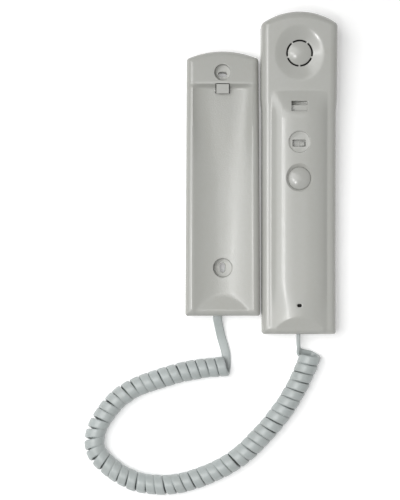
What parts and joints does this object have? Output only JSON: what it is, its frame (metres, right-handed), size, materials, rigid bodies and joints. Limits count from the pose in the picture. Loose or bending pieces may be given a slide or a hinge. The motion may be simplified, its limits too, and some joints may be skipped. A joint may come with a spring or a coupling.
{
  "type": "wall telephone",
  "caption": "Slimline wall telephone for a door-entry system: slim handset with a push button lying beside its long wall base, joined by a curly cord.",
  "frame": {"origin": "middle of the base's wall face, which is also the plane of the table that the phone lies on", "axes": "+Y along the base and the handset towards the earpiece end, +Z out of the wall, +X from the base towards the handset"},
  "size_m": [0.1574, 0.3013, 0.0266],
  "materials": {
    "case_plastic": "light warm-grey moulded plastic, soft gloss outside, fine grain in the base's trough",
    "hook_plastic": "light grey moulded plastic, fine grain",
    "button_plastic": "light grey moulded plastic, glossy",
    "plate_plastic": "grey moulded plastic, fine grain",
    "zinc_steel": "zinc-plated steel",
    "spring_steel": "bright spring wire",
    "board_green": "green circuit board",
    "terminal_green": "green terminal plastic",
    "black_plastic": "black moulded plastic",
    "capsule_metal": "drawn metal can",
    "foam_rubber": "soft black rubber",
    "cord_jacket": "bluish grey flexible cord jacket, lengthwise ribs, satin",
    "lead_jacket": "red lead insulation"
  },
  "bodies": {
    "base": {"base_shell": "case_plastic", "wall_plate": "plate_plastic", "plate_screw_upper": "zinc_steel", "plate_screw_lower": "zinc_steel", "base_circuit_board": "board_green", "base_board_screw_1": "zinc_steel", "base_board_screw_2": "zinc_steel", "terminal_block": "terminal_green", "terminal_screw_1": "zinc_steel", "terminal_screw_2": "zinc_steel", "terminal_screw_3": "zinc_steel", "terminal_screw_4": "zinc_steel", "call_buzzer": "black_plastic", "hook_switch_body": "black_plastic", "hook_pin": "zinc_steel", "hook_spring": "spring_steel", "base_cord_grip": "black_plastic", "base_cord_connector": "black_plastic", "base_cord_wires": "lead_jacket", "cord_tail_base": "cord_jacket", "curly_cord": "cord_jacket"},
    "hook_lever": {"hook_lever": "hook_plastic"},
    "hook_switch_plunger": {"hook_switch_plunger": "button_plastic"},
    "handset": {"handset_front_shell": "case_plastic", "handset_rear_shell": "case_plastic", "handset_circuit_board": "board_green", "handset_board_screw_1": "zinc_steel", "handset_board_screw_2": "zinc_steel", "receiver_capsule": "capsule_metal", "receiver_gasket": "foam_rubber", "microphone_capsule": "capsule_metal", "microphone_boot": "foam_rubber", "door_switch_body": "black_plastic", "door_button_spring": "spring_steel", "mute_switch_body": "black_plastic", "handset_cord_grip": "black_plastic", "handset_cord_connector": "black_plastic", "handset_cord_wires": "lead_jacket", "receiver_wires": "lead_jacket", "microphone_wires": "lead_jacket", "cord_tail_handset": "cord_jacket"},
    "door_button": {"door_button": "button_plastic"},
    "door_switch_plunger": {"door_switch_plunger": "button_plastic"},
    "mute_slider": {"mute_slider": "button_plastic"}
  },
  "joints": [
    {"name": "hook_lever_turn", "type": "hinge", "parent": "base", "child": "hook_lever", "pos_m": [0, 0.059, 0.007], "axis": [1, 0, 0], "range_deg": [0, 8], "stiffness_Nm_per_rad": 0.05, "springref_deg": -2.86},
    {"name": "hook_switch_press", "type": "slide", "parent": "base", "child": "hook_switch_plunger", "axis": [0, 0, -1], "range_m": [0, 0.0012]},
    {"name": "handset_lift", "type": "slide", "parent": "base", "child": "handset", "axis": [0, 0, 1], "range_m": [0, 0.12]},
    {"name": "door_button_press", "type": "slide", "parent": "handset", "child": "door_button", "axis": [0, 0, -1], "range_m": [0, 0.0015], "stiffness_N_per_m": 700, "springref_m": -0.0006, "deforming": ["door_button_spring"]},
    {"name": "door_switch_press", "type": "slide", "parent": "handset", "child": "door_switch_plunger", "axis": [0, 0, -1], "range_m": [0, 0.0015]},
    {"name": "mute_slide", "type": "slide", "parent": "handset", "child": "mute_slider", "axis": [-1, 0, 0], "range_m": [0, 0.003]}
  ],
  "couplings": [
    {"joint": "hook_switch_press", "follows": "hook_lever_turn", "m_per_rad": 0.0065},
    {"joint": "door_switch_press", "follows": "door_button_press", "ratio": 1}
  ]
}
